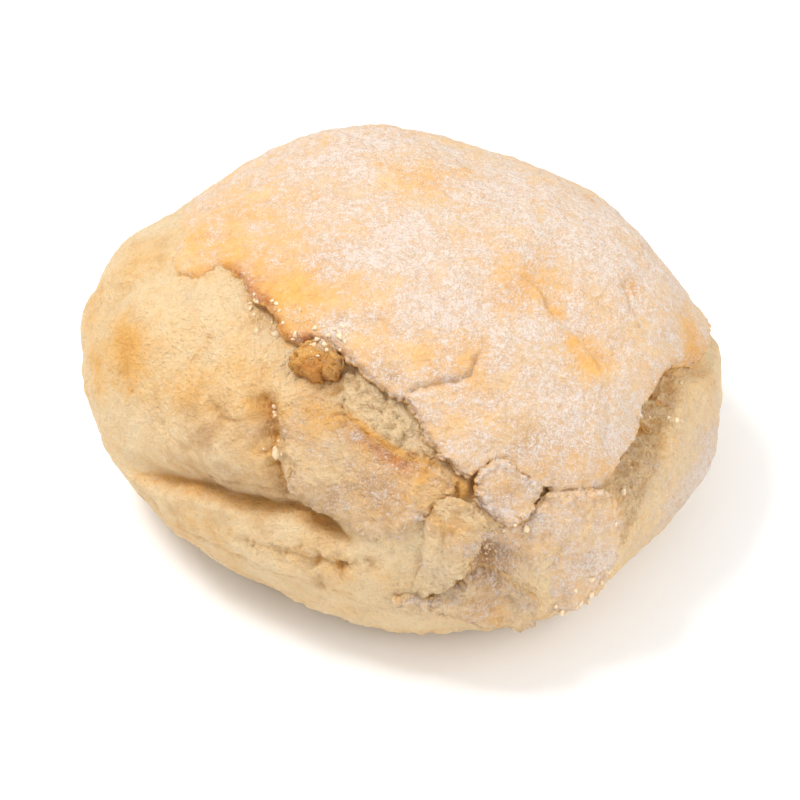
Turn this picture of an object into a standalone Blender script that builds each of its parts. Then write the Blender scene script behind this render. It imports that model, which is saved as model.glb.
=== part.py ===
"""A round, floured bread roll that burst on one side in the oven: one solid, resting on its flat base.

The roll is worked out in millimetres and turned into metres at the end, with +Z up and the origin on the
floor under the middle of the roll. Its burst side faces -Y.

A place on the skin has an address of two angles in degrees: its azimuth, from +X and anticlockwise seen from
above, and its elevation, 0 at the roll's widest level, 90 at the top and -90 at the middle of the base.
The plain loaf gives each address a point. Bulges, creases and plates of crust are then laid on it by address.
"""

import bmesh
import bpy
import numpy as np
from mathutils import Vector, noise

MM = 0.001

# The plain loaf, in mm. PLAN_RADIUS and WIDEST_LEVEL hold a value for every 30 degrees of azimuth.
HEIGHT = 57.5
STATION_STEP = 30.0
PLAN_RADIUS = (56.5, 56.0, 52.5, 51.5, 53.0, 55.5, 55.5, 48.5, 43.0, 45.5, 48.5, 51.5)
WIDEST_LEVEL = (17.0, 19.0, 22.0, 24.0, 25.0, 27.0, 27.0, 24.0, 20.0, 17.0, 15.0, 16.0)
DOME_SQUARENESS = 0.86
UNDERSIDE_SQUARENESS = 0.8
UNDERSIDE_REACH = 1.35
BASE_FADE = 6.0
SKIN_RADIUS = 50.0

# Lumps that dough has of itself, as (size, height) in mm.
LUMPS = ((24.0, 1.0), (9.0, 0.4))

# Bulges and hollows, as (azimuth, elevation, reach in degrees, height in mm).
SWELLS = (
    (102, 50, 14, 2.2),  # crest at the back
    (142, 32, 13, -2.6),  # flat beside the crest
    (24, 22, 14, -1.0),
    (11, 13, 8, 1.6),  # corner at the right
    (226, -24, 14, -1.3),
    (198, 36, 16, 1.6),  # the burst bulge
    (224, 29, 11, 2.0),  # its belly, hanging over the fold
    (250, 27, 9, 1.2),
    (232, 51, 6, -1.8),  # torn floor between bulge, cap and middle plate
    (256, 54, 7, -1.8),
    (272, 48, 6, -2.4),
    (289, 15, 4, -3.6),  # pocket behind the flap
)

# The valley that the dough has along the cap's rim, in mm for every 30 degrees of azimuth.
VALLEY_DEPTH = (2.0, 1.2, 1.2, 1.4, 1.2, 1.6, 4.0, 3.0, 3.6, 3.4, 2.6, 5.0)
VALLEY_WIDTH = (4.0, 5.0, 6.0, 6.0, 6.0, 6.0, 6.0, 8.0, 8.0, 5.0, 3.5, 3.6)

# The cap's rim, by addresses.
CAP_RIM = (
    (142, 20), (161, 41), (173, 48), (180, 50), (180, 56), (179, 60), (183, 62.5), (190, 63.5),
    (198, 63), (206, 64), (215, 62), (223, 60), (232, 62.5), (241, 62.5), (249, 61), (257, 59),
    (268, 55.5), (273, 54.5), (277, 49), (280.5, 43), (284, 39), (288, 37), (291, 38), (295, 39.5),
    (299, 35), (302.5, 31), (308, 28), (314, 24.5), (317, 24), (321, 25), (326, 27), (330.5, 27.5),
    (334.5, 30.5), (339, 32.5), (344.5, 33), (349, 32.5), (354, 28.5), (0, 21), (9.5, 15), (20, 13),
    (35, 16), (50, 11), (66, 15), (82, 12), (97, 17), (113, 13), (128, 18),
)  # fmt: skip
CAP_LEVEL = 0.2

# The smaller plates of crust.
MIDDLE_PLATE = (
    (234, 43), (237, 47), (243, 49), (249, 49), (257, 46), (264, 43.5), (271, 41), (278, 39.5), (283, 36),
    (281, 31), (276, 27), (270, 23), (264, 19.5), (257, 21.5), (248, 22.5), (242, 24.5), (242, 30), (239, 35),
)  # fmt: skip
SMALL_PLATE = (
    (288, 36), (293, 39.5), (297, 38.5), (300, 35), (303, 31.5), (301, 28), (297.5, 25), (293, 25), (288.5, 30),
)  # fmt: skip
FLAP = (
    (267, 20), (270, 24), (275, 26), (278, 31), (282, 33), (285, 31.5), (287.5, 28), (286.5, 24),
    (284.5, 19), (282, 13), (278, 8), (273, 5), (268, 6), (265, 12),
)  # fmt: skip
FRONT_PLATE = (
    (287, 25.5), (292, 24.5), (297.5, 24), (301.5, 27.5), (305, 29), (311, 26.5), (317, 22), (316, 16),
    (313, 10), (310, 4), (306, -2), (302, -5), (299, 2), (296, 9), (291, 14.5), (287, 19),
)  # fmt: skip
LEDGE = (
    (269, 4), (276, 5), (280.5, 8), (284, 11.5), (288, 12.5), (292, 10), (297, 3.5), (295, -2.5),
    (290, -3), (285, 0), (279, 2.5),
)  # fmt: skip
CURL = ((227, 57), (228, 61.5), (234, 64), (242, 62.5), (246, 59), (244, 55), (238, 52.5), (231, 54))

RIM_SOFTNESS = 2.0

# The mesh starts coarse and its edges are halved above a level, then near rims and creases, then nearer still.
BASE_SUBDIVISIONS = 4
FINE_ABOVE = -38.0
REFINE_WITHIN = (4.0, 1.5)
SOFTENINGS = 2

CRUST_COLOUR = (0.80, 0.60, 0.36, 1.0)
CRUST_ROUGHNESS = 0.8


def unit_of(vectors):
    return vectors / np.linalg.norm(vectors, axis=-1, keepdims=True)


def direction(azimuth, elevation):
    """The unit vector that stands for an address."""
    a, e = np.radians(azimuth), np.radians(elevation)
    return np.stack([np.cos(e) * np.cos(a), np.cos(e) * np.sin(a), np.sin(e)], axis=-1)


def smooth(share):
    share = np.clip(share, 0.0, 1.0)
    return share * share * (3.0 - 2.0 * share)


def catmull_rom(p0, p1, p2, p3, t):
    return 0.5 * (
        2 * p1
        + (p2 - p0) * t
        + (2 * p0 - 5 * p1 + 4 * p2 - p3) * t**2
        + (3 * p1 - 3 * p2 + p3 - p0) * t**3
    )


def curve_through(places, closed=False, steps=3):
    """Unit vectors along a smooth curve through addresses."""
    knots = direction(*np.array(places, float).T)
    count = len(knots)
    if closed:
        around = [np.roll(knots, -k, axis=0) for k in (-1, 0, 1, 2)]
    else:
        padded = np.concatenate([knots[:1], knots, knots[-1:]])
        around = [padded[k : k + count - 1] for k in range(4)]
    t = np.arange(steps)[:, None, None] / steps
    curve = np.swapaxes(catmull_rom(*around, t), 0, 1).reshape(-1, 3)
    return unit_of(curve if closed else np.concatenate([curve, knots[-1:]]))


def at_stations(azimuth, values):
    """A value for each azimuth, smoothly through those at the stations."""
    place = np.mod(azimuth, 360.0) / STATION_STEP
    before = np.floor(place).astype(int)
    values = np.array(values)
    near = [values[(before + k) % len(values)] for k in (-1, 0, 1, 2)]
    return catmull_rom(*near, place - before)


def azimuth_of(n):
    return np.degrees(np.arctan2(n[:, 1], n[:, 0]))


def plain_loaf(n):
    """The points and outward directions of the plain loaf, in mm, at the unit vectors n."""
    azimuth = azimuth_of(n)
    around = np.stack([np.cos(np.radians(azimuth)), np.sin(np.radians(azimuth))], axis=-1)
    radius = at_stations(azimuth, PLAN_RADIUS)
    widest = at_stations(azimuth, WIDEST_LEVEL)
    upper = n[:, 2] >= 0
    across = np.sqrt(np.clip(1.0 - n[:, 2] ** 2, 0.0, 1.0))
    reach = radius * across ** np.where(upper, DOME_SQUARENESS, UNDERSIDE_SQUARENESS)
    rise = np.where(upper, HEIGHT - widest, widest * UNDERSIDE_REACH)
    points = np.column_stack([around * reach[:, None], widest + rise * n[:, 2]])
    outward = np.column_stack([around * (across / radius)[:, None], n[:, 2] / rise])
    return points, unit_of(outward)


def chart(n, middle):
    """Unit vectors laid flat round middle, in mm: x to the east and y to the north."""
    east = unit_of(np.cross((0.0, 0.0, 1.0), middle))
    north = np.cross(middle, east)
    flat = np.stack([n @ east, n @ north], axis=-1)
    length = np.maximum(np.linalg.norm(flat, axis=-1), 1e-9)
    angle = np.arccos(np.clip(n @ middle, -1.0, 1.0))
    return flat * (angle / length * SKIN_RADIUS)[:, None]


def distance_inside(points, outline):
    """How far points on a chart lie inside an outline, negative outside."""
    along = np.roll(outline, -1, axis=0) - outline
    to_point = points[:, None] - outline
    share = np.clip((to_point * along).sum(-1) / (along**2).sum(-1), 0.0, 1.0)
    nearest = np.linalg.norm(to_point - share[..., None] * along, axis=-1).min(1)
    height = to_point[..., 1] / np.where(along[:, 1] == 0.0, 1e-9, along[:, 1])
    crossed = (height >= 0.0) & (height < 1.0) & (to_point[..., 0] < height * along[:, 0])
    return np.where(crossed.sum(1) % 2 == 1, nearest, -nearest)


class Plate:
    """A plate of crust: its outline, the level of its top, and how much that rises towards one side."""

    def __init__(self, places, level, rise=0.0, towards=0.0):
        outline = curve_through(places, closed=True)
        self.middle = unit_of(outline.mean(0))
        self.outline = chart(outline, self.middle)
        self.level = level
        angle = np.radians(towards)
        self.slope = rise * np.array([np.cos(angle), np.sin(angle)])

    def inside(self, n):
        return distance_inside(chart(n, self.middle), self.outline)

    def top(self, n):
        return self.level + chart(n, self.middle) @ self.slope


class Crease:
    """A groove along a line from left to right. The skin above it may lap down over it."""

    def __init__(self, places, depth, above, below, lap=0.0):
        self.line = curve_through(places)
        self.depth = depth
        self.above = above
        self.below = below
        self.lap = lap

    def measure(self, n):
        """For each unit vector, its distance above the line in mm, the way to it, and how whole the line is there."""
        start, along = self.line[:-1], np.diff(self.line, axis=0)
        to_point = n[:, None] - start
        share = np.clip((to_point * along).sum(-1) / (along**2).sum(-1), 0.0, 1.0)
        gap = to_point - share[..., None] * along
        nearest = np.linalg.norm(gap, axis=-1).argmin(1)
        rows = np.arange(len(n))
        gap, share = gap[rows, nearest], share[rows, nearest]
        length = np.maximum(np.linalg.norm(gap, axis=-1), 1e-9)
        up = np.sign((n * np.cross(start, start + along)[nearest]).sum(-1))
        place = (nearest + share) / len(start)
        whole = smooth(np.minimum(place, 1.0 - place) / 0.16)
        return up * length * SKIN_RADIUS, gap / length[:, None], whole

    def groove(self, n):
        distance, _, whole = self.measure(n)
        width = np.where(distance > 0.0, self.above, self.below)
        return -self.depth * whole * np.exp(-((np.abs(distance) / width) ** 1.5))

    def shift(self, n):
        """How far the skin above the line is drawn down over it."""
        distance, way, whole = self.measure(n)
        near = smooth(distance / self.above) * np.exp(-((distance / (3.0 * self.above)) ** 2))
        return -way * (self.lap * whole * near)[:, None]


CAP = Plate(CAP_RIM, CAP_LEVEL)
PLATES = (
    CAP,
    Plate(MIDDLE_PLATE, 0.0, rise=0.09, towards=60),
    Plate(FRONT_PLATE, 0.9),
    Plate(LEDGE, 1.6, rise=0.10, towards=-90),
    Plate(SMALL_PLATE, 1.3, rise=0.06, towards=200),
    Plate(FLAP, 2.0, rise=0.28, towards=10),
    Plate(CURL, 1.6, rise=0.15, towards=250),
)
CREASES = (
    # the fold between the burst side and the base
    Crease(
        ((198, -8), (209, 0), (216, 7), (223, 11), (230, 12), (237, 14.5), (246, 17), (254, 17), (262, 17)),
        depth=3.6, above=2.6, below=1.6, lap=2.6,
    ),
    # the line over it
    Crease(((216, 14), (224, 17), (232, 20), (240, 21), (249, 21.5), (258, 20.5)), 0.8, 1.5, 1.2),
    # the tear between the bulge and the middle plate
    Crease(((226, 45), (231, 41), (235, 35), (237, 31), (239, 26), (241, 21)), 2.6, 1.6, 1.6),
    # the crumbly line in the base
    Crease(((229, 1), (237, 5), (245, 6.5), (252, 8.5), (260, 11)), 1.1, 1.2, 1.4),
    # the crack in the cap
    Crease(((272, 55), (276, 57.5), (282, 59), (290, 59), (295, 60), (300, 62), (306, 64)), 1.3, 1.1, 1.1),
)  # fmt: skip


def lumps(points):
    """The height of the dough's own lumps at points in mm."""
    height = np.zeros(len(points))
    for size, tall in LUMPS:
        height += [tall * noise.noise(Vector(p / size)) for p in points]
    return height


def dough_height(n, points):
    """How far the dough stands out of the plain loaf, in mm."""
    height = lumps(points)
    for azimuth, elevation, reach, tall in SWELLS:
        angle = np.degrees(np.arccos(np.clip(n @ direction(azimuth, elevation), -1.0, 1.0)))
        height += tall * np.exp(-((angle / reach) ** 2))
    outside = np.maximum(-CAP.inside(n), 0.0)
    azimuth = azimuth_of(n)
    valley = at_stations(azimuth, VALLEY_DEPTH) * np.exp(-((outside / at_stations(azimuth, VALLEY_WIDTH)) ** 2))
    return height, valley


def roll_points(n):
    """The points of the whole roll's skin, in mm, at the unit vectors n."""
    points, outward = plain_loaf(n)
    height, valley = dough_height(n, points)
    relief = -valley
    for plate in PLATES:
        relief += smooth(plate.inside(n) / RIM_SOFTNESS + 0.5) * (plate.top(n) - relief)
    drawn = np.zeros_like(points)
    for crease in CREASES:
        relief += crease.groove(n)
        drawn += crease.shift(n)
    fade = smooth(points[:, 2] / BASE_FADE)[:, None]
    points = points + fade * (outward * (height + relief)[:, None] + drawn)
    points[:, 2] = np.maximum(points[:, 2], 0.0)
    return points


def gap_to_feature(n):
    """How far each unit vector is, in mm, from the nearest rim or crease."""
    gaps = [np.abs(plate.inside(n)) for plate in PLATES]
    gaps += [np.abs(crease.measure(n)[0]) for crease in CREASES]
    return np.min(gaps, axis=0)


def addresses_of(ball):
    ball.verts.ensure_lookup_table()
    ball.verts.index_update()
    return unit_of(np.array([v.co for v in ball.verts]))


def halve_edges(ball, chosen):
    """Halve the edges that have both ends in the chosen vertices."""
    edges = [e for e in ball.edges if all(chosen[v.index] for v in e.verts)]
    bmesh.ops.subdivide_edges(ball, edges=edges, cuts=1, use_grid_fill=True)
    bmesh.ops.triangulate(ball, faces=ball.faces[:])


def ball_of_addresses():
    """A mesh of unit vectors, with smaller faces along the rims and creases."""
    ball = bmesh.new()
    bmesh.ops.create_icosphere(ball, subdivisions=BASE_SUBDIVISIONS, radius=1.0)
    halve_edges(ball, addresses_of(ball)[:, 2] > np.sin(np.radians(FINE_ABOVE)))
    for reach in REFINE_WITHIN:
        halve_edges(ball, gap_to_feature(addresses_of(ball)) < reach)
    return ball


def soften(skin, close):
    """Round off the rims and creases a little."""
    for _ in range(SOFTENINGS):
        bmesh.ops.smooth_vert(
            skin, verts=close, factor=0.5, use_axis_x=True, use_axis_y=True, use_axis_z=True
        )


def crust_material():
    material = bpy.data.materials.new("crust")
    material.use_nodes = True
    shader = material.node_tree.nodes["Principled BSDF"]
    shader.inputs["Base Color"].default_value = CRUST_COLOUR
    shader.inputs["Roughness"].default_value = CRUST_ROUGHNESS
    return material


def build_roll():
    skin = ball_of_addresses()
    n = addresses_of(skin)
    for vertex, point in zip(skin.verts, roll_points(n)):
        vertex.co = point
    close = (gap_to_feature(n) < REFINE_WITHIN[0]) & (n[:, 2] > np.sin(np.radians(FINE_ABOVE)))
    soften(skin, [v for v in skin.verts if close[v.index]])
    points = np.array([v.co for v in skin.verts])
    middle = (points.min(0) + points.max(0)) / 2.0
    middle[2] = points[:, 2].min()
    for vertex, point in zip(skin.verts, (points - middle) * MM):
        vertex.co = point
    bmesh.ops.recalc_face_normals(skin, faces=skin.faces[:])
    mesh = bpy.data.meshes.new("bread_roll")
    skin.to_mesh(mesh)
    skin.free()
    mesh.shade_smooth()
    mesh.materials.append(crust_material())
    roll = bpy.data.objects.new("bread_roll", mesh)
    bpy.context.scene.collection.objects.link(roll)
    return roll


for old in list(bpy.data.objects):
    bpy.data.objects.remove(old, do_unlink=True)
build_roll()
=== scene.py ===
"""A round, floured bread roll that burst on one side in the oven, resting on a white floor.

The dough is one closed skin. The crust that tore loose from it - the floured cap, the plates, the ledge and
the flap on the burst side, and the curl - is a closed shell each, with a ragged, rounded rim that stands off
the dough. The loose crumbs along the tears are one mesh.

Shapes are worked out in millimetres. A place on the skin has an address of two angles in degrees: its
azimuth, from +X and anticlockwise seen from above, and its elevation, 0 at the roll's widest level and 90 at
the top.
"""

import math

import bmesh
import bpy
import numpy as np
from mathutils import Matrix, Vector, noise
from mathutils.bvhtree import BVHTree


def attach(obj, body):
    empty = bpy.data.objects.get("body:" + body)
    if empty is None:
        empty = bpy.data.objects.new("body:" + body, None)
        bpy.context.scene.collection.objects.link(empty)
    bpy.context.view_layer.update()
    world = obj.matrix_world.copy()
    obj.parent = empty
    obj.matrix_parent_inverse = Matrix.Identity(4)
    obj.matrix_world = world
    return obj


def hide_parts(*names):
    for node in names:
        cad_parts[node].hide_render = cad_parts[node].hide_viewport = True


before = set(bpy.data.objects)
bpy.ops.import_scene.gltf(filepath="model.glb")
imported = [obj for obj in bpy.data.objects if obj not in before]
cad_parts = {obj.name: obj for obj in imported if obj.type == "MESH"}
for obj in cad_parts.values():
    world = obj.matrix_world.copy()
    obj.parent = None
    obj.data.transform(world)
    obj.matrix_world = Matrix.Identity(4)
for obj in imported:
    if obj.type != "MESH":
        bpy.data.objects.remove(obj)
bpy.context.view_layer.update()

MM = 0.001
PLAN_MIDDLE = (0.5, 2.4, 0.0)

# ---------------------------------------------------------------- the plain loaf, in mm
HEIGHT = 57.5
STATION_STEP = 30.0
PLAN_RADIUS = (56.5, 56.0, 52.5, 51.5, 53.0, 55.5, 55.5, 48.5, 43.0, 45.5, 48.5, 51.5)
WIDEST_LEVEL = (17.0, 19.0, 22.0, 24.0, 25.0, 27.0, 27.0, 24.0, 20.0, 17.0, 15.0, 16.0)
DOME_SQUARENESS = 0.86
UNDERSIDE_SQUARENESS = 0.8
UNDERSIDE_REACH = 1.35
BASE_FADE = 6.0
SKIN_RADIUS = 50.0

# Bulges and hollows, as (azimuth, elevation, reach in degrees, height in mm).
SWELLS = (
    (102, 50, 14, 2.2),  # crest at the back
    (142, 32, 13, -2.6),  # flat beside the crest
    (24, 22, 14, -1.0),
    (11, 13, 8, 1.6),  # corner at the right
    (226, -24, 14, -1.3),
    (198, 36, 16, 1.6),  # the burst bulge
    (224, 29, 11, 2.0),  # its belly, hanging over the fold
    (250, 27, 9, 1.2),
    (228, 27, 9, 1.4),
    (240, 3, 9, 1.4),  # the base, swollen below the fold
    (258, 4, 8, 1.0),
    (274, 46, 6, -0.6),  # torn floor between cap and middle plate
    (290, 17, 5, -4.2),  # pocket behind the flap
)
LUMPS = ((24.0, 1.0), (9.0, 0.4))

# The valley that the dough has along the cap's rim, in mm for every 30 degrees of azimuth.
VALLEY_DEPTH = (2.0, 1.2, 1.2, 1.4, 1.2, 0.4, 1.8, 2.6, 2.2, 2.2, 1.8, 4.6)
VALLEY_WIDTH = (3.5, 5.0, 6.0, 6.0, 6.0, 6.0, 6.0, 7.0, 10.0, 9.0, 3.5, 6.4)

# ---------------------------------------------------------------- outlines of the crust, by addresses
CAP_RIM = (
    (142, 20), (161, 41), (173, 48), (180, 50), (180, 56), (179, 60), (183, 62.5), (190, 63.5),
    (198, 63), (206, 64), (215, 62), (223, 60), (232, 62.5), (241, 62.5), (249, 61), (257, 59),
    (268, 55.5), (273, 54.5), (277, 49), (280.5, 43), (284, 39), (288, 37), (291, 38), (295, 39.5),
    (299, 35), (302.5, 31), (308, 28), (314, 24.5), (317, 24), (321, 25), (326, 27), (330.5, 27.5),
    (334.5, 30.5), (339, 32.5), (344.5, 33), (349, 32.5), (354, 28.5), (0, 21), (9.5, 15), (20, 13),
    (35, 16), (50, 11), (66, 15), (82, 12), (97, 17), (113, 13), (128, 18),
)  # fmt: skip
MIDDLE_PLATE = (
    (234, 43), (237, 47), (243, 49), (249, 49), (257, 46), (264, 43.5), (271, 41), (278, 39.5), (283, 36),
    (281, 31), (276, 27), (270, 23), (264, 19.5), (257, 21.5), (248, 22.5), (242, 24.5), (242, 30), (239, 35),
)  # fmt: skip
SMALL_PLATE = (
    (288, 36), (293, 39.5), (297, 38.5), (300, 35), (303, 31.5), (301, 28), (297.5, 25), (293, 25),
    (288.5, 30),
)  # fmt: skip
FLAP = (
    (267, 20), (270, 24), (275, 26), (278, 31), (282, 33), (285, 31.5), (287.5, 28), (286.5, 24),
    (284.5, 19), (282, 13), (278, 8), (273, 5), (268, 6), (265, 12),
)  # fmt: skip
FRONT_PLATE = (
    (287, 25.5), (292, 24.5), (297.5, 24), (301.5, 27.5), (305, 29), (311, 26.5), (317, 22), (318, 15),
    (316, 8), (313, 1), (309, -6), (303, -8), (299, 0), (296, 8), (291, 14.5), (287, 19),
)  # fmt: skip
LEDGE = (
    (269, 4), (276, 5), (280.5, 8), (284, 11.5), (288, 12.5), (292, 10), (297, 3.5), (295, -2.5),
    (290, -3), (285, 0), (279, 2.5),
)  # fmt: skip
CURL = ((227, 57), (228, 61.5), (234, 64), (242, 62.5), (246, 59), (244, 55), (238, 52.5), (231, 54))


# ---------------------------------------------------------------- addresses and curves
def unit_of(vectors):
    return vectors / np.linalg.norm(vectors, axis=-1, keepdims=True)


def direction(azimuth, elevation):
    a, e = np.radians(azimuth), np.radians(elevation)
    return np.stack([np.cos(e) * np.cos(a), np.cos(e) * np.sin(a), np.sin(e)], axis=-1)


def azimuth_of(n):
    return np.degrees(np.arctan2(n[:, 1], n[:, 0]))


def smooth(share):
    share = np.clip(share, 0.0, 1.0)
    return share * share * (3.0 - 2.0 * share)


def catmull_rom(p0, p1, p2, p3, t):
    return 0.5 * (
        2 * p1
        + (p2 - p0) * t
        + (2 * p0 - 5 * p1 + 4 * p2 - p3) * t**2
        + (3 * p1 - 3 * p2 + p3 - p0) * t**3
    )


def curve_through(places, closed=False, steps=3):
    """Unit vectors along a smooth curve through addresses."""
    knots = direction(*np.array(places, float).T)
    count = len(knots)
    if closed:
        around = [np.roll(knots, -k, axis=0) for k in (-1, 0, 1, 2)]
    else:
        padded = np.concatenate([knots[:1], knots, knots[-1:]])
        around = [padded[k : k + count - 1] for k in range(4)]
    t = np.arange(steps)[:, None, None] / steps
    curve = np.swapaxes(catmull_rom(*around, t), 0, 1).reshape(-1, 3)
    return unit_of(curve if closed else np.concatenate([curve, knots[-1:]]))


def at_stations(azimuth, values):
    """A value for each azimuth, smoothly through those at the stations."""
    place = np.mod(azimuth, 360.0) / STATION_STEP
    before = np.floor(place).astype(int)
    values = np.array(values)
    near = [values[(before + k) % len(values)] for k in (-1, 0, 1, 2)]
    return catmull_rom(*near, place - before)


def plain_loaf(n):
    """The points and outward directions of the plain loaf, in mm, at the unit vectors n."""
    azimuth = azimuth_of(n)
    around = np.stack([np.cos(np.radians(azimuth)), np.sin(np.radians(azimuth))], axis=-1)
    radius = at_stations(azimuth, PLAN_RADIUS)
    widest = at_stations(azimuth, WIDEST_LEVEL)
    upper = n[:, 2] >= 0
    across = np.sqrt(np.clip(1.0 - n[:, 2] ** 2, 0.0, 1.0))
    reach = radius * across ** np.where(upper, DOME_SQUARENESS, UNDERSIDE_SQUARENESS)
    rise = np.where(upper, HEIGHT - widest, widest * UNDERSIDE_REACH)
    points = np.column_stack([around * reach[:, None], widest + rise * n[:, 2]])
    outward = np.column_stack([around * (across / radius)[:, None], n[:, 2] / rise])
    return points, unit_of(outward)


def degrees_from(n, azimuth, elevation):
    return np.degrees(np.arccos(np.clip(n @ direction(azimuth, elevation), -1.0, 1.0)))


def patches(n, places):
    """The sum of soft round patches, each (azimuth, elevation, reach in degrees, strength)."""
    total = np.zeros(len(n))
    for azimuth, elevation, reach, strength in places:
        total += strength * np.exp(-((degrees_from(n, azimuth, elevation) / reach) ** 2))
    return total


def grain(points, size, seed=0.0):
    """Smooth noise from -1 to 1 at points in mm, with features of about the given size."""
    offset = Vector((seed * 7.31, seed * 3.17, seed * 5.53))
    return np.array([noise.noise(Vector(p) + offset) for p in points / size])


def torn_grain(points, size, octaves, seed=0.0):
    """Rougher noise, for torn crumb and ragged edges."""
    offset = Vector((seed * 7.31, seed * 3.17, seed * 5.53))
    return np.array([noise.fractal(Vector(p) + offset, 0.7, 2.1, octaves) for p in points / size])


def wrinkles(points, size, seed=0.0):
    """Rounded swells between narrow valleys, from -1 to 0, as on a skin that has shrunk a little."""
    bent = points + 0.4 * size * grain(points, size * 1.5, seed + 0.5)[:, None]
    return -np.exp(-((grain(bent, size, seed) / WRINKLE_WIDTH) ** 2))


# ---------------------------------------------------------------- plates and creases
def chart(n, middle):
    """Unit vectors laid flat round middle, in mm: x to the east and y to the north."""
    east = unit_of(np.cross((0.0, 0.0, 1.0), middle))
    north = np.cross(middle, east)
    flat = np.stack([n @ east, n @ north], axis=-1)
    length = np.maximum(np.linalg.norm(flat, axis=-1), 1e-9)
    angle = np.arccos(np.clip(n @ middle, -1.0, 1.0))
    return flat * (angle / length * SKIN_RADIUS)[:, None]


def distance_inside(points, outline):
    """How far points on a chart lie inside an outline, negative outside."""
    along = np.roll(outline, -1, axis=0) - outline
    to_point = points[:, None] - outline
    share = np.clip((to_point * along).sum(-1) / (along**2).sum(-1), 0.0, 1.0)
    nearest = np.linalg.norm(to_point - share[..., None] * along, axis=-1).min(1)
    height = to_point[..., 1] / np.where(along[:, 1] == 0.0, 1e-9, along[:, 1])
    crossed = (height >= 0.0) & (height < 1.0) & (to_point[..., 0] < height * along[:, 0])
    return np.where(crossed.sum(1) % 2 == 1, nearest, -nearest)


def in_chunks(function, rows, size=12000):
    return np.concatenate([function(rows[k : k + size]) for k in range(0, len(rows), size)])


# Past this margin round a plate, in mm, the distance from it is a rough one, shifted so that it stays outside.
NEAR_MARGIN = 8.0
ROUGH_SHIFT = 4.0


class Plate:
    """A plate of crust: its outline, the level of its top, and how much that rises towards one side."""

    def __init__(self, places, level, rise=0.0, towards=0.0):
        outline = curve_through(places, closed=True)
        self.middle = unit_of(outline.mean(0))
        self.outline = chart(outline, self.middle)
        self.reach = np.linalg.norm(self.outline, axis=1).max()
        self.level = level
        angle = np.radians(towards)
        self.slope = rise * np.array([np.cos(angle), np.sin(angle)])

    def inside(self, n):
        """How far the unit vectors n lie inside the plate's outline, in mm."""
        laid = chart(n, self.middle)
        apart = np.linalg.norm(laid, axis=1)
        found = self.reach - apart - ROUGH_SHIFT
        near = apart < self.reach + NEAR_MARGIN
        found[near] = in_chunks(lambda rows: distance_inside(rows, self.outline), laid[near])
        return found

    def top(self, n):
        return self.level + chart(n, self.middle) @ self.slope


# The share of a crease over which each end fades out, its groove's sharpness, and the widths of a step's rise
# and of the line of painted shade in it, in mm.
END_FADE = 0.16
GROOVE_SHARPNESS = 1.4
STEP_RUN = 0.8
LINE_WIDTH = 0.9


class Crease:
    """A groove along a line from left to right.

    The skin above it may lap down over it, or stand a step higher.
    """

    def __init__(self, places, depth, above, below, lap=0.0, step=0.0, step_reach=5.0):
        self.line = curve_through(places)
        self.depth = depth
        self.above = above
        self.below = below
        self.lap = lap
        self.step = step
        self.step_reach = step_reach

    def measure(self, n):
        """For each unit vector: distance above the line in mm, the way to it, and how whole the line is."""
        start, along = self.line[:-1], np.diff(self.line, axis=0)
        to_point = n[:, None] - start
        share = np.clip((to_point * along).sum(-1) / (along**2).sum(-1), 0.0, 1.0)
        gap = to_point - share[..., None] * along
        nearest = np.linalg.norm(gap, axis=-1).argmin(1)
        rows = np.arange(len(n))
        gap, share = gap[rows, nearest], share[rows, nearest]
        length = np.maximum(np.linalg.norm(gap, axis=-1), 1e-9)
        up = np.sign((n * np.cross(start, start + along)[nearest]).sum(-1))
        place = (nearest + share) / len(start)
        whole = smooth(np.minimum(place, 1.0 - place) / END_FADE)
        return np.column_stack([up * length * SKIN_RADIUS, gap / length[:, None], whole])

    def relief(self, n, wander):
        """The crease's height, how far it draws the skin down over it, in mm, and how near its line is."""
        found = in_chunks(self.measure, n)
        distance, way, whole = found[:, 0] + wander, found[:, 1:4], found[:, 4]
        width = np.where(distance > 0.0, self.above, self.below)
        height = -self.depth * whole * np.exp(-((np.abs(distance) / width) ** GROOVE_SHARPNESS))
        lower = np.exp(-((distance / self.step_reach) ** 2))
        height -= self.step * whole * smooth(0.5 - distance / STEP_RUN) * lower
        near = smooth(distance / self.above) * np.exp(-((distance / (3.0 * self.above)) ** 2))
        pull = -way * (self.lap * whole * near)[:, None]
        return height, pull, whole * np.exp(-((distance / LINE_WIDTH) ** 2))


CAP = Plate(CAP_RIM, 0.2)
MIDDLE = Plate(MIDDLE_PLATE, 1.1, rise=0.06, towards=70)
FRONT = Plate(FRONT_PLATE, 1.2, rise=0.10, towards=15)
LEDGE_PLATE = Plate(LEDGE, 2.8, rise=0.17, towards=-90)
SMALL = Plate(SMALL_PLATE, 1.3, rise=0.06, towards=200)
FLAP_PLATE = Plate(FLAP, 2.5, rise=0.33, towards=10)
CURL_PLATE = Plate(CURL, 1.6, rise=0.15, towards=250)

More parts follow.
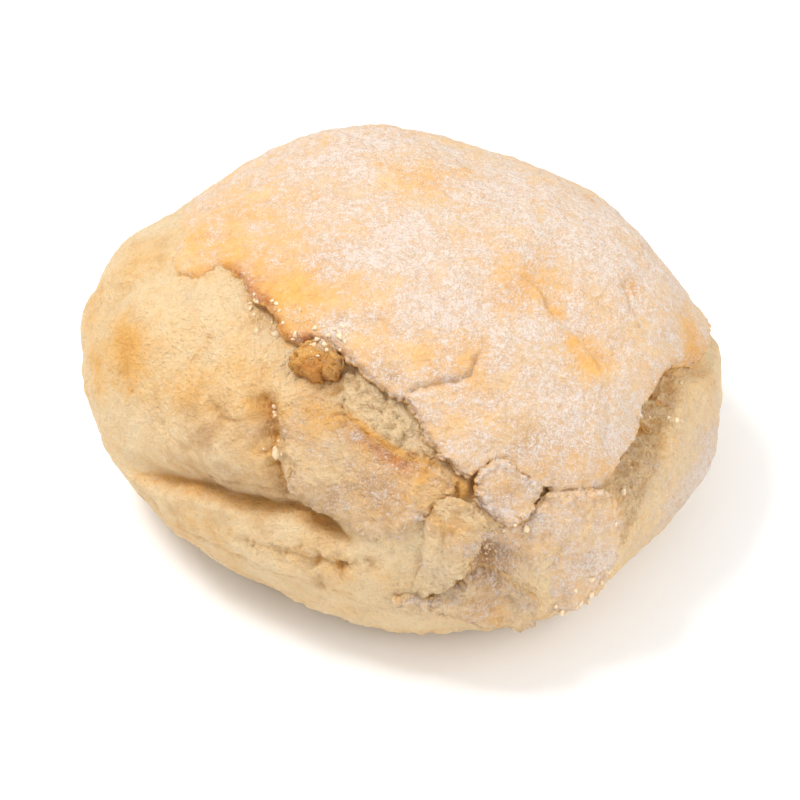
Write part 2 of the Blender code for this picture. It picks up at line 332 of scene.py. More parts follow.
DOUGH_CREASES = (
    # the fold between the burst side and the base
    Crease(
        ((198, -8), (209, 0), (216, 7), (223, 11), (230, 12), (237, 14.5), (246, 17), (254, 17), (262, 17)),
        depth=4.6, above=6.0, below=0.8, lap=0.4,
    ),
    # the line over it
    Crease(((216, 15), (224, 18), (232, 21), (240, 22), (249, 22.5), (258, 21.5)), 0.7, 1.5, 0.8, lap=0.5),
    # the tear between the bulge and the middle plate
    Crease(((224, 46), (229, 43), (234, 37), (236, 32), (239, 26), (241, 20)), 2.6, 1.6, 2.0),
    # the crumbly line in the base
    Crease(((229, 1), (237, 5), (245, 6.5), (252, 8.5), (260, 11)), 0.6, 1.2, 1.4),
    # short dents in the bulge
    Crease(((203, 51), (206, 45), (206, 40)), 0.7, 0.9, 0.9),
    Crease(((217, 38), (222, 35), (226, 37), (228, 40)), 0.9, 0.7, 1.0),
    Crease(((193, 30), (196, 25), (199, 23)), 0.7, 0.9, 0.9),
    Crease(((221, 53), (224, 48), (225, 45)), 0.8, 0.9, 0.9),
    Crease(((206, 24), (213, 22), (220, 24)), 0.6, 0.8, 1.2),
    # the base's edge on the right, over the open crumb
    Crease(
        ((356, 30), (346, 26), (338, 22), (331, 16), (323, 9), (315, 3)),
        0.5, 0.7, 1.2, step=1.3, step_reach=4.5,
    ),
    # a seam low in the base
    Crease(((214, -12), (226, -7), (238, -3), (250, 0), (262, 3)), 0.5, 1.0, 1.0),
)  # fmt: skip
FLAP_CREASES = (
    # the flap's left side, over the drawn skin beside it
    Crease(
        ((275, 30), (275.5, 24), (275, 17), (272.5, 9), (271, 3)),
        0.5, 0.5, 0.8, step=1.8, step_reach=9.0,
    ),
    Crease(((279, 27), (278.5, 19), (276, 11)), 0.5, 0.8, 0.8),
)  # fmt: skip
FRONT_CREASES = (
    Crease(((288, 20), (294, 14), (298, 7), (301, -2)), 1.0, 1.2, 1.6),
    Crease(((296, 24), (300, 18), (306, 12), (309, 4)), 0.7, 1.0, 1.4),
    Crease(((292, 24), (297, 20.5), (302, 20)), 0.5, 0.7, 0.7),
)  # fmt: skip
LEDGE_CREASES = (Crease(((272, 4.5), (279, 6), (284, 6.5), (291, 6), (295, 2)), 0.9, 1.0, 1.0, lap=0.6),)
CAP_CREASES = (
    # the crack in the cap
    Crease(
        ((270, 54.5), (276, 57.5), (282, 59), (290, 59), (295, 60), (300, 62), (306, 64)),
        1.3, 0.6, 0.45, lap=0.4,
    ),
    # the step on its right side
    Crease(
        ((331, 44.5), (334.5, 49), (336.5, 53.5), (337, 58.5), (341, 64), (346, 67), (347, 72.5)),
        0.5, 0.6, 0.9, lap=0.2, step=1.1, step_reach=8.0,
    ),
    # the ridge beside it
    Crease(((322, 32), (327, 38), (330, 44)), 0.5, 0.8, 1.0),
    Crease(((350, 44), (356, 48), (1, 52)), 0.5, 0.7, 0.9, step=0.6, step_reach=5.0),
    # folds in the skin round its left part
    Crease(((250, 70), (257, 71.5), (266, 69), (272, 70.5)), 0.6, 1.2, 0.8),
    Crease(((298, 45), (303, 51), (304, 57)), 0.5, 0.8, 0.8),
    Crease(((188, 72), (200, 76), (215, 76.5)), 0.5, 1.4, 1.0),
)  # fmt: skip


# ---------------------------------------------------------------- the skin's relief
def body_height(n, points):
    """Swells and the dough's own lumps, shared by the dough and the crust on it."""
    height = patches(n, SWELLS)
    for size, tall in LUMPS:
        height += tall * grain(points, size)
    return height


def set_points(n, relief, drawn=0.0):
    """Points on the roll, in mm, at the unit vectors n with their relief over the dough's body."""
    points, outward = plain_loaf(n)
    height = body_height(n, points) + relief
    fade = smooth(points[:, 2] / BASE_FADE)[:, None]
    points = points + fade * (outward * height[:, None] + drawn)
    points[:, 2] = np.maximum(points[:, 2], 0.0)
    return points


def new_ball(subdivisions):
    ball = bmesh.new()
    bmesh.ops.create_icosphere(ball, subdivisions=subdivisions, radius=1.0)
    return ball


def addresses_of(ball):
    ball.verts.ensure_lookup_table()
    ball.verts.index_update()
    return unit_of(np.array([v.co for v in ball.verts]))


def halve_edges(ball, chosen):
    """Halve the edges that have both ends in the chosen vertices."""
    edges = [e for e in ball.edges if all(chosen[v.index] for v in e.verts)]
    bmesh.ops.subdivide_edges(ball, edges=edges, cuts=1, use_grid_fill=True)
    bmesh.ops.triangulate(ball, faces=ball.faces[:])


def new_piece(name, points, faces, values, material):
    """A mesh object from points in mm, with a float attribute for each of the named values."""
    mesh = bpy.data.meshes.new(name)
    mesh.from_pydata(((points - PLAN_MIDDLE) * MM).tolist(), [], faces)
    for key, value in values.items():
        mesh.attributes.new(key, "FLOAT", "POINT").data.foreach_set("value", value.astype(np.float32))
    mesh.shade_smooth()
    mesh.materials.append(material)
    piece = bpy.data.objects.new(name, mesh)
    bpy.context.scene.collection.objects.link(piece)
    return piece


# ---------------------------------------------------------------- the dough
BALL_LEVEL = 6
STRAND_STRETCH = 0.3
VALLEY_SHOULDER = 3.0
WRINKLE_WIDTH = 0.16
# Painted shade along each crease's line, as browning that grows with the crease's depth.
CREASE_SHADE = 0.05
DOUGH_FLOUR = 0.10

# The dough shows down to this far in under the cap's rim, in mm.
UNDER_CAP = 2.5

# How far down the dough's faces are halved once and twice, as the height of an address, and which places are
# fine: those with this share of open crumb, or this near a crease, in mm.
LOWEST_HALVED = (-0.75, -0.5)
FINE_CRUMB = 0.15
FINE_CREASE = 2.6

# Where the webs of torn crumb are coarsest, in the groove at the right.
COARSE_WEBS = ((335, 24, 14, 1.0),)

# Where the crumb lies open, as (azimuth, elevation, reach in degrees, share).
OPEN_CRUMB = (
    (246, 56, 5, 0.6), (253, 54, 5, 0.8), (261, 52, 5, 0.8), (268, 49, 4.5, 0.8), (275, 44, 4, 0.8),
    (352, 30, 3, 0.8), (346, 29, 4, 1.0), (339, 26, 4, 1.0), (332, 22, 4, 1.0), (326, 17, 4, 1.0),
    (320, 12, 4, 1.0), (316, 6, 3.5, 0.8), (229, 43, 3, 1.0), (236, 32, 3.2, 1.0), (238, 26, 2.6, 0.7),
    (286, 17, 4, 1.0), (284, 34, 3, 0.8), (233, 38, 2.4, 0.9), (236, 4, 2.6, 0.6), (243, 6, 3, 0.8),
    (250, 8, 3, 0.8), (257, 10, 3.5, 0.9), (263, 13, 2.5, 0.6), (308, 2, 3, 0.5),
)  # fmt: skip

# How far the oven browned the roll, on a scale from pale 0 to burnt 1, for the dough and the plates alike. The
# patch at azimuth 289 and elevation 14 is painted shade in the pocket behind the flap.
BROWNED_AND_SHADED_PLACES = (
    (191, 31, 6, 0.30), (228, 42, 3, 0.16), (178, 18, 11, 0.12), (166, 38, 8, 0.12), (205, 58, 7, 0.06),
    (240, 45, 5, 0.06), (246, 46, 3, 0.12), (253, 46, 3, 0.34), (259, 44.5, 3, 0.46),
    (265, 42.5, 3, 0.52), (271, 40, 3, 0.48), (277, 38, 3, 0.26), (266, 33, 6, 0.20),
    (332, 27, 7, 0.04), (0, 24, 6, 0.10), (254, 9, 5, 0.06), (284, 34, 3, 0.30), (239, 55, 4, 0.24),
    (235, 31, 3.0, 0.08), (220, -8, 12, 0.04), (281, 27, 3.5, 0.16), (284, 19, 3, 0.16),
    (288, 5, 5, 0.12), (303, 28, 2.5, 0.14), (322, 22, 5, 0.04), (212, 34, 5, 0.10), (216, 48, 5, 0.08),
    (186, 16, 6, 0.10), (260, 52, 6, -0.20), (270, 48, 5, -0.16), (271, 17, 5, -0.12),
    (208, 48, 8, -0.06), (248, 28, 5, -0.06), (200, 34, 18, 0.05), (228, 36, 12, 0.10),
    (283, 24, 5, 0.08), (289, 14, 4, 0.25), (345, -2, 16, -0.08),
)  # fmt: skip

# Loose flour on the dough.
DOUGH_FLOURY = (
    (268, 24, 3, 0.5), (228, 36, 3, 0.2), (300, -8, 8, 0.3), (330, 20, 5, 0.2), (240, 52, 5, 0.2),
    (292, 14, 6, 0.6), (345, -2, 18, 0.85),
)  # fmt: skip

# Where the skin is painted greyer, in shares, for the dough and the plates alike: painted shade on faces
# turned down along the fold and the belly over it, under lips, round the curl, on the cap's front right and in
# the pocket behind the flap, and greyer patches on the middle and small plates. Negative shares keep the grey
# away.
GREY_SHADE_PLACES = (
    (212, 9, 7, 0.2), (222, 15, 7, 0.3), (232, 18, 7, 0.3), (242, 20, 6, 0.3), (252, 21, 6, 0.3),
    (262, 21, 5, 0.2), (222, 33, 12, 0.60), (256, 36, 9, 0.30), (345, 0, 18, -0.4), (206, 50, 12, -0.3),
    (250, 27, 6, 0.35), (300, 43, 7, 0.25), (308, 43, 6, 0.25), (266, 60, 3.5, 0.7), (236, 69, 3, 0.4),
    (262, 31, 6, 0.35), (252, 3, 9, 0.15), (289, 14, 4, 0.8), (296, 32, 4, 0.4), (263, 52, 7, -0.4),
)  # fmt: skip


def strands_at(n):
    """Places for noise that runs in strands down the slope, in mm."""
    elevation = np.degrees(np.arcsin(np.clip(n[:, 2], -1.0, 1.0)))
    return SKIN_RADIUS * direction(azimuth_of(n), STRAND_STRETCH * elevation)


def open_crumb(n):
    return np.clip(patches(n, OPEN_CRUMB) * 1.25, 0.0, 1.0)


def skin_relief(n, points, strength=1.0):
    """The uneven skin of dough from the oven: soft dents, shrink wrinkles, and pores drawn out down the slope.
    """
    strands = strands_at(n)
    soft = 0.55 * grain(points, 8.0, 5.0) + 0.30 * grain(points, 3.6, 5.5)
    fine = 0.30 * grain(strands, 1.7, 6.0) + 0.14 * grain(points, 0.9, 6.5)
    lines = 0.40 * wrinkles(strands, 6.0, 7.0) * smooth(0.5 + 1.5 * grain(points, 11.0, 7.5))
    return strength * (soft + fine + lines)


def browning_and_shade_share(n, points):
    """How brown the roll is, apart from burnt rims, with painted shade in the pocket behind the flap."""
    uneven = 0.05 * grain(points, 14.0, 7.0) + 0.05 * grain(points, 5.0, 7.2)
    return 0.10 + patches(n, BROWNED_AND_SHADED_PLACES) + uneven


def dough_relief(n):
    """The dough's relief, how far creases draw it, and its open crumb and browning.

    The browning carries painted shade under the cap's lip, along creases and in the crumb's hollows.
    """
    points = plain_loaf(n)[0]
    from_cap = CAP.inside(n)
    outside = np.maximum(-from_cap, 0.0)
    azimuth = azimuth_of(n)
    width = at_stations(azimuth, VALLEY_WIDTH)
    valley = at_stations(azimuth, VALLEY_DEPTH) * np.exp(-((outside / width) ** VALLEY_SHOULDER))
    relief = -valley
    drawn = np.zeros_like(points)
    wander = 0.5 * grain(points, 4.0, 1.0) + 0.25 * grain(points, 1.3, 2.0)
    crease_shade = np.zeros(len(n))
    for crease in DOUGH_CREASES:
        height, pull, near_line = crease.relief(n, wander)
        relief += height
        drawn += pull
        # Painted shade along the crease's line, as browning.
        crease_shade += CREASE_SHADE * crease.depth * near_line
    torn = open_crumb(n) * smooth((UNDER_CAP - from_cap) / 2.0)
    strands = 0.35 * strands_at(n) + 0.65 * points
    webs = 0.8 * torn_grain(strands, 2.4, 4, 3.0) + 0.6 * torn_grain(points, 1.4, 3, 3.5)
    webs += 0.7 * wrinkles(strands, 3.0, 4.0)
    webs *= 1.0 + 0.6 * patches(n, COARSE_WEBS)
    relief += torn * webs + (1.0 - torn) * skin_relief(n, points)
    # Painted shade in the valley under the cap's lip, as browning that grows with the valley's depth.
    lip_shade = 0.22 * np.exp(-((outside / 1.2) ** 2)) * smooth((valley - 1.8) / 1.5)
    # Painted shade in the hollows of the torn crumb's webs, as browning.
    baked_and_shade = browning_and_shade_share(n, points) + crease_shade + lip_shade + 0.22 * torn * np.clip(-webs - 0.5, 0.0, 1.5)
    return relief, drawn, torn, baked_and_shade


def make_dough(material):
    ball = new_ball(BALL_LEVEL)
    for halved, lowest in enumerate(LOWEST_HALVED):
        n = addresses_of(ball)
        chosen = (CAP.inside(n) < UNDER_CAP) & (n[:, 2] > lowest)
        if halved:
            finest = (smooth((-n[:, 1] - 0.05) / 0.1) > 0.5) | (open_crumb(n) > FINE_CRUMB)
            for crease in DOUGH_CREASES:
                finest |= np.abs(in_chunks(crease.measure, n)[:, 0]) < FINE_CREASE
            chosen &= finest
        halve_edges(ball, chosen)
    n = addresses_of(ball)
    relief, drawn, torn, baked_and_shade = dough_relief(n)
    faces = [[v.index for v in f.verts] for f in ball.faces]
    ball.free()
    floury = DOUGH_FLOUR + patches(n, DOUGH_FLOURY)
    values = {"baked_and_shade": baked_and_shade, "floury": floury, "torn": torn, "shade_and_grey": patches(n, GREY_SHADE_PLACES)}
    return new_piece("dough", set_points(n, relief, drawn), faces, values, material)


# ---------------------------------------------------------------- shells of crust
EVERYWHERE = 9.9e9

# The torn edge below a rim: (roughness, how far out, how far down), in shares of the edge's thickness.
EDGE_PROFILE = ((0.6, 0.22, 0.3), (1.0, 0.25, 0.65), (1.0, 0.0, 1.0), (0.6, -0.9, 1.6), (0.0, -2.2, 3.6))
ROOT_LEVEL = 22.0

# How far a rim rounds down and crumbles, over which width in mm, and how a torn edge looks.
RIM_FALL = 0.75
RIM_CRUMBLE = 0.55
CRUMBLE_WIDTH = 1.6
TORN_WIDTH = 0.8
EDGE_ROUGHNESS = 0.30
EDGE_FLOUR = 0.25
# Painted shade on the torn edge below each rim.
EDGE_SHADE = 0.1

# How much of the undercut each ring takes, and the most that a ring draws in, as a share of the way to the
# patch's middle.
UNDERCUT_SHARE = 0.4
MOST_DRAWN_IN = 0.5

def ragged_patch(plate, halvings, ragged, seed):
    """The part of the ball of addresses inside a plate's outline, with the outline made ragged.

    halvings holds, for each time that the faces are halved, how near the rim they must be, in mm.
    """

    def value_of(n):
        points = n * SKIN_RADIUS
        wander = grain(points, 2.6, seed) + 0.5 * grain(points, 1.0, seed + 1.0)
        return plate.inside(n) + ragged * wander

    ball = new_ball(BALL_LEVEL)
    value = plate.inside(addresses_of(ball))
    bmesh.ops.delete(ball, geom=[v for v in ball.verts if value[v.index] < -4.0], context="VERTS")
    for reach in halvings:
        halve_edges(ball, np.abs(plate.inside(addresses_of(ball))) < reach)
    value = value_of(addresses_of(ball))
    crossing = []
    for edge in ball.edges:
        a, b = (value[v.index] for v in edge.verts)
        if (a > 0.0) != (b > 0.0):
            crossing.append((edge, edge.verts[0], abs(a) / (abs(a) + abs(b))))
    outer = [v for v in ball.verts if value[v.index] <= 0.0]
    cuts = [bmesh.utils.edge_split(edge, vert, share)[1] for edge, vert, share in crossing]
    bmesh.ops.connect_verts(ball, verts=cuts)
    bmesh.ops.delete(ball, geom=outer, context="VERTS")
    bmesh.ops.remove_doubles(ball, verts=ball.verts[:], dist=0.04 / SKIN_RADIUS)
    bmesh.ops.triangulate(ball, faces=ball.faces[:])
    loose = [v for v in ball.verts if not v.link_faces]
    bmesh.ops.delete(ball, geom=loose, context="VERTS")
    n = addresses_of(ball)
    faces = np.array([[v.index for v in f.verts] for f in ball.faces])
    ball.free()
    return n, faces


def rim_of(faces):
    """The edges that have a face on one side only, each in its face's turning order."""
    sides = np.concatenate([faces[:, [0, 1]], faces[:, [1, 2]], faces[:, [2, 0]]])
    forward = sides[:, 0] * (faces.max() + 1) + sides[:, 1]
    backward = sides[:, 1] * (faces.max() + 1) + sides[:, 0]
    return sides[~np.isin(forward, backward)]


def crust_shell(name, plate, top, look, material, **shape):
    """A closed shell of crust: its top, a rounded and torn rim, and a root that sinks into the dough.

    top gives the height of its skin and look its browning and flour, from unit vectors and distances inside.
    """
    rim_round, edge, undercut, seed = (shape[k] for k in ("rim_round", "edge", "undercut", "seed"))
    n, faces = ragged_patch(plate, shape["halvings"], shape["ragged"], seed)
    inside = np.maximum(plate.inside(n), 0.0)
    rim_edges = rim_of(faces)
    rim = np.unique(rim_edges)
    inside[rim] = 0.0
    height = top(n, inside)
    at = n * SKIN_RADIUS
    rounding = rim_round * (1.0 + 0.5 * grain(at, 5.0, seed + 2.0))
    near_rim = np.clip(1.0 - inside / rounding, 0.0, 1.0)
    height -= RIM_FALL * rounding * (1.0 - np.sqrt(1.0 - near_rim**2))
    crumbly = shape.get("crumbly", 0.0) + RIM_CRUMBLE * np.exp(-((inside / CRUMBLE_WIDTH) ** 2))
    height += crumbly * torn_grain(at, 1.4, 3, seed + 4.0)
    above = set_points(n, height)

    # the torn edge, in rings from the top's rim down to the undercut
    spot = np.full(len(n), -1)
    spot[rim] = np.arange(len(rim))
    run = above[rim_edges[:, 1]] - above[rim_edges[:, 0]]
    aside = np.cross(run, plain_loaf(n[rim_edges[:, 0]])[1])
    away = np.zeros((len(rim), 3))
    for side in (0, 1):
        np.add.at(away, spot[rim_edges[:, side]], aside)
    away = unit_of(away)
    start, outward = above[rim], plain_loaf(n[rim])[1]
    thick = edge * (1.0 + 0.5 * grain(at[rim], 4.0, seed + 5.0))
    rings = []
    for share, out, down in EDGE_PROFILE:
        rough = EDGE_ROUGHNESS * share * torn_grain(start + down * outward, 1.2, 3, seed + 3.0)
        reach = out * thick + rough - undercut * max(0.0, down - 1.0) * UNDERCUT_SHARE
        reach = np.maximum(reach, -MOST_DRAWN_IN * inside.max())
        rings.append(start + away * reach[:, None] - outward * (down * thick)[:, None])
    rings.append(np.array([[0.0, 0.0, ROOT_LEVEL]]))

    count, width = len(n), len(rim)
    points = np.concatenate([above, *rings])
    ring_index = [rim] + [count + k * width + np.arange(width) for k in range(len(rings) - 1)]
    polygons = [faces]
    a, b = spot[rim_edges[:, 0]], spot[rim_edges[:, 1]]
    for upper, lower in zip(ring_index, ring_index[1:]):
        polygons.append(np.column_stack([upper[b], upper[a], lower[a]]))
        polygons.append(np.column_stack([upper[b], lower[a], lower[b]]))
    last = ring_index[-1]
    polygons.append(np.column_stack([last[b], last[a], np.full(len(a), len(points) - 1)]))
    polygons = np.concatenate(polygons).tolist()

    baked_and_shade, floury = look(n, inside)
    edge_baked = shape["edge_baked"]
    rim_baked = edge_baked(n[rim]) if callable(edge_baked) else np.full(width, edge_baked)
    below = len(points) - count
    spread = np.concatenate([rim_baked] * (len(rings) - 1) + [[0.0]])
    flour = np.concatenate([EDGE_FLOUR * floury[rim]] * (len(rings) - 1) + [[0.0]])
    torn = shape["torn_rim"] * np.exp(-((inside / TORN_WIDTH) ** 2))
    values = {
        "baked_and_shade": np.concatenate([baked_and_shade, spread]),
        "floury": np.concatenate([floury, flour]),
        "torn": np.concatenate([torn, np.ones(below)]),
        # The torn edge below the rim gets painted shade.
        "shade_and_grey": np.concatenate([patches(n, GREY_SHADE_PLACES), np.full(below, EDGE_SHADE)]),
    }
    return new_piece(name, points, polygons, values, material)


# Browning and flour of the cap, as (azimuth, elevation, reach in degrees, amount).
CAP_BAKED = (
    (206, 70, 11, 0.16), (196, 64, 6, 0.12), (255, 62, 7, 0.10), (343, 69, 6, 0.16), (331, 49, 5, 0.14),
    (77, 72, 7, 0.18), (301, 66, 5, 0.12), (34, 47, 1.8, 0.45), (2, 48, 1.8, 0.4), (0, 28, 6, 0.22),
    (345, 69, 3, 0.14), (339, 61, 2.5, 0.22), (334.5, 54, 2.5, 0.22), (286, 62, 5, 0.12),
    (165, 58, 13, 0.14), (305, 35, 5, 0.14), (294, 54, 6, 0.10), (228, 62, 5, 0.16),
)  # fmt: skip
CAP_FLOURY = (
    (200, 88, 7, 0.34), (306, 73, 9, 0.34), (316, 45, 6, 0.22), (308, 42, 6, 0.04), (193, 60, 3, 0.3),
    (238, 67, 4, 0.34), (299, 40, 4, 0.10), (109, 60, 20, 0.2), (49, 71, 12, 0.26), (11, 55, 12, 0.22),
    (325, 34, 8, 0.22), (163, 56, 12, -0.22), (20, 40, 18, 0.15), (262, 58, 4, 0.2), (330, 62, 6, 0.2),
    (77, 72, 7, -0.5), (206, 70, 9, -0.34), (343, 69, 6, -0.34), (331, 49, 4, -0.34),
    (256, 64, 6, -0.14), (339, 61, 2.5, -0.3), (334.5, 54, 2.5, -0.3), (286, 62, 5, -0.16),
    (301, 66, 4, -0.24), (305, 35, 4, -0.24), (0, 28, 6, -0.3), (215, 62, 8, -0.08),
)  # fmt: skip

# Swells of the cap, as (azimuth, elevation, reach in degrees, height in mm).
CAP_SWELLS = ((252, 62, 4, 1.2), (292, 62, 5, 0.5), (184, 64, 3, 0.6), (207, 66, 5, 0.8))

# How brown the cap's rim is, and how far it sinks to meet the dough, for every 30 degrees of azimuth.
CAP_RIM_BAKED = (0.10, 0.12, 0.12, 0.12, 0.12, 0.04, 0.20, 0.28, 0.26, 0.08, 0.02, 0.04)
CAP_RIM_SINK = (0.4, 0.9, 1.0, 1.0, 1.0, 2.0, 1.0, 0.0, 0.0, 0.0, 0.2, 0.3)


def cap_top(n, inside):
    points = plain_loaf(n)[0]
    height = CAP.top(n) + skin_relief(n, points + 100.0, 0.8)
    height -= at_stations(azimuth_of(n), CAP_RIM_SINK) * np.exp(-((inside / 5.0) ** 2))
    height += patches(n, CAP_SWELLS)
    wander = 0.7 * grain(points, 3.5, 10.0) + 0.3 * grain(points, 1.1, 11.0)
    for crease in CAP_CREASES:
        height += crease.relief(n, wander)[0]
    return height


def cap_look(n, inside):
    points = n * SKIN_RADIUS
    rim = at_stations(azimuth_of(n), CAP_RIM_BAKED)
    baked_and_shade = 0.17 + patches(n, CAP_BAKED) + rim * np.exp(-((inside / 1.4) ** 2))
    floury = 0.62 + patches(n, CAP_FLOURY) - 0.2 * rim * np.exp(-((inside / 2.0) ** 2))
    return baked_and_shade, floury + 0.16 * grain(points, 6.0, 12.0)


def cap_rim_baked(n):
    return 0.14 + 1.2 * at_stations(azimuth_of(n), CAP_RIM_BAKED)


def plain_top(plate, seed, strength=1.0, creases=()):
    def top(n, inside):
        points = plain_loaf(n)[0]
        height = plate.top(n) + skin_relief(n, points + seed, strength)
        for crease in creases:
            height += crease.relief(n, 0.4 * grain(points, 2.5, seed))[0]
        return height

    return top


def even_look(baked_and_shade, floury, floury_places=()):
    def look(n, inside):
        points = n * SKIN_RADIUS
        brown = baked_and_shade + browning_and_shade_share(n, points)
        return brown, floury + patches(n, floury_places) + 0.14 * grain(points, 5.0, 12.0)

    return look


# Crumbs caught on the skin, as (azimuth, elevation, spread in degrees, how many, radius in mm).
CRUMBS = (
    (239, 63, 1.6, 14, 0.40), (200, 63.5, 2.0, 6, 0.24), (213, 62.5, 2.5, 8, 0.26),
    (227, 61.5, 2.5, 10, 0.28), (231, 42, 1.6, 6, 0.26), (236, 33, 1.4, 8, 0.28),
    (290, 15, 2.2, 14, 0.28), (294, 24, 2.0, 6, 0.26), (312, 2, 2.2, 12, 0.34),
    (305, -4, 2.6, 16, 0.36), (296, -2, 2.6, 6, 0.28), (340, 28, 3.0, 8, 0.30), (324, 17, 3.0, 8, 0.30),
)  # fmt: skip

CRUMB_SEED = 8
RAY_START = 25.0
SIZE_SPREAD = 0.4
CRUMB_LIFT = 0.1
LOWEST_CRUMB = 0.1


def make_crumbs(hosts, material):
    """The crumbs, as one mesh, each resting on the outermost skin below it."""
    trees = []
    for host in hosts:
        corners = [v.co for v in host.data.vertices]
        trees.append(BVHTree.FromPolygons(corners, [p.vertices for p in host.data.polygons]))
    ball = new_ball(2)
    round_points = addresses_of(ball)
    triangles = np.array([[v.index for v in f.verts] for f in ball.faces])
    ball.free()
    rng = np.random.default_rng(CRUMB_SEED)
    points, faces = [], []
    for azimuth, elevation, spread, count, size in CRUMBS:
        for _ in range(count):
            aside, up = rng.normal(size=2) * spread
            n = direction(azimuth + aside / math.cos(math.radians(elevation)), elevation + up)[None]
            point, outward = plain_loaf(n)
            start = Vector((point[0] + RAY_START * outward[0] - PLAN_MIDDLE) * MM)
            hits = [tree.ray_cast(start, Vector(-outward[0]))[0] for tree in trees]
            hits = [hit for hit in hits if hit is not None]
            if not hits:
                continue
            spot = np.array(min(hits, key=lambda hit: (hit - start).length)) / MM + PLAN_MIDDLE
            radius = size * math.exp(SIZE_SPREAD * rng.normal())
            uneven = 1.0 + 0.8 * grain(round_points, 0.7, rng.uniform(0, 99))
            lump = round_points * rng.uniform(0.6, 1.2, 3) * uneven[:, None]
            faces.append(triangles + len(points) * len(round_points))
            points.append(spot + CRUMB_LIFT * radius * outward[0] + radius * lump)
    points = np.concatenate(points)
    points[:, 2] = np.maximum(points[:, 2], LOWEST_CRUMB)
    level = np.ones(len(points))
    values = {"baked_and_shade": 0.10 * level, "floury": 0.5 * level, "torn": 0.0 * level, "shade_and_grey": 0.0 * level}
    return new_piece("crumbs", points, np.concatenate(faces).tolist(), values, material)


def make_crust(floured, golden):
    """Every shell of crust on the dough."""
    fine = (EVERYWHERE, EVERYWHERE, 1.4)
    return [
        crust_shell(
            "floured_cap", CAP, cap_top, cap_look, floured,
            halvings=(EVERYWHERE, EVERYWHERE, 1.1), ragged=1.0, seed=20.0,
            rim_round=1.3, edge=1.2, undercut=3.2, torn_rim=0.5, edge_baked=cap_rim_baked,
        ),
        crust_shell(
            "middle_plate", MIDDLE, plain_top(MIDDLE, 30.0),
            even_look(0.04, 0.36, ((256, 44, 3, 0.2), (266, 33, 6, 0.25), (272, 28, 4, 0.3))),
            golden, halvings=fine, ragged=0.6, seed=31.0, crumbly=0.2,
            rim_round=2.0, edge=0.9, undercut=2.4, torn_rim=0.6, edge_baked=0.22,
        ),
        crust_shell(
            "front_plate", FRONT, plain_top(FRONT, 40.0, 2.0, FRONT_CREASES),
            even_look(0.06, 0.62, ((312, 8, 4, 0.25), (298, 22, 3, 0.2))),
            floured, halvings=fine, ragged=0.7, seed=41.0, crumbly=0.35,
            rim_round=1.6, edge=0.8, undercut=2.2, torn_rim=0.7, edge_baked=0.14,
        ),
        crust_shell(
            "ledge", LEDGE_PLATE, plain_top(LEDGE_PLATE, 50.0, 2.0, LEDGE_CREASES),
            even_look(-0.02, 0.50), golden,
            halvings=fine, ragged=0.7, seed=51.0, crumbly=0.4,
            rim_round=1.0, edge=2.0, undercut=4.0, torn_rim=0.8, edge_baked=0.2,
        ),
        crust_shell(
            "small_plate", SMALL, plain_top(SMALL, 60.0, 0.8), even_look(0.1, 0.72), floured,
            halvings=fine, ragged=0.5, seed=61.0, crumbly=0.25,
            rim_round=1.1, edge=1.0, undercut=2.2, torn_rim=0.5, edge_baked=0.3,
        ),
        crust_shell(
            "torn_flap", FLAP_PLATE, plain_top(FLAP_PLATE, 70.0, 1.8, FLAP_CREASES),
            even_look(-0.03, 0.30, ((285, 22, 2.5, 0.3), (271, 17, 5, -0.2))), golden,
            halvings=fine, ragged=0.6, seed=71.0, crumbly=0.3,
            rim_round=1.2, edge=1.6, undercut=3.0, torn_rim=0.6, edge_baked=0.12,
        ),
        crust_shell(
            "curl", CURL_PLATE, plain_top(CURL_PLATE, 80.0, 2.2),
            even_look(0.24, 0.1, ((237, 62, 2.5, 0.7),)),
            golden, halvings=fine, ragged=1.2, seed=81.0, crumbly=1.1,
            rim_round=2.6, edge=1.2, undercut=2.0, torn_rim=1.0, edge_baked=0.62,
        ),
    ]  # fmt: skip


# ---------------------------------------------------------------- finishes
def colour(red, green, blue):
    """A colour given in sRGB from 0 to 255, as the linear value that a shader takes."""
    channels = [c / 255.0 for c in (red, green, blue)]
    return tuple(c / 12.92 if c <= 0.04045 else ((c + 0.055) / 1.055) ** 2.4 for c in channels) + (1.0,)


PALE_DOUGH = colour(242, 214, 170)
GOLDEN = colour(238, 180, 98)
BROWNED = colour(200, 120, 46)
BURNT = colour(124, 62, 22)
# A grey tone, for random greyer mottling and for painted shade.
GREY_AND_SHADE_TONE = colour(194, 152, 106)
# Painted shade in the pits of open crumb.
CRUMB_PIT_SHADE = colour(210, 158, 92)
CRUMB_PALE = colour(238, 214, 178)
FLOUR_FILM = colour(210, 178, 150)
# The flour film where painted shade darkens it.
FLOUR_IN_SHADE = colour(146, 106, 76)
FLOUR_GRAIN = colour(229, 216, 206)
FLOOR_WHITE = colour(250, 250, 250)

SPECK_SIZE = 0.30
SUBSURFACE = {"Weight": 0.15, "Scale": 0.0015, "Radius": (1.0, 0.6, 0.3)}

# Each bread material's mottle, roughness, height of flour and height of skin.
FLOURED_CRUST = (0.40, 0.85, 0.08, 1.0)
GOLDEN_CRUST = (0.36, 0.7, 0.08, 1.6)
PALE_SKIN = (0.34, 0.7, 0.06, 1.5)


def put(tree, kind, inputs=None, **settings):
    """Add a node; inputs are plain values or the sockets to link."""
    node = tree.nodes.new(kind)
    for key, value in settings.items():
        setattr(node, key, value)
    for key, value in (inputs or {}).items():
        feed(tree, node.inputs[key], value)
    return node


def feed(tree, socket, value):
    if isinstance(value, bpy.types.NodeSocket):
        tree.links.new(value, socket)
    else:
        socket.default_value = value


def reckon(tree, operation, a, b=0.0, clamp=False):
    return put(tree, "ShaderNodeMath", {0: a, 1: b}, operation=operation, use_clamp=clamp).outputs[0]


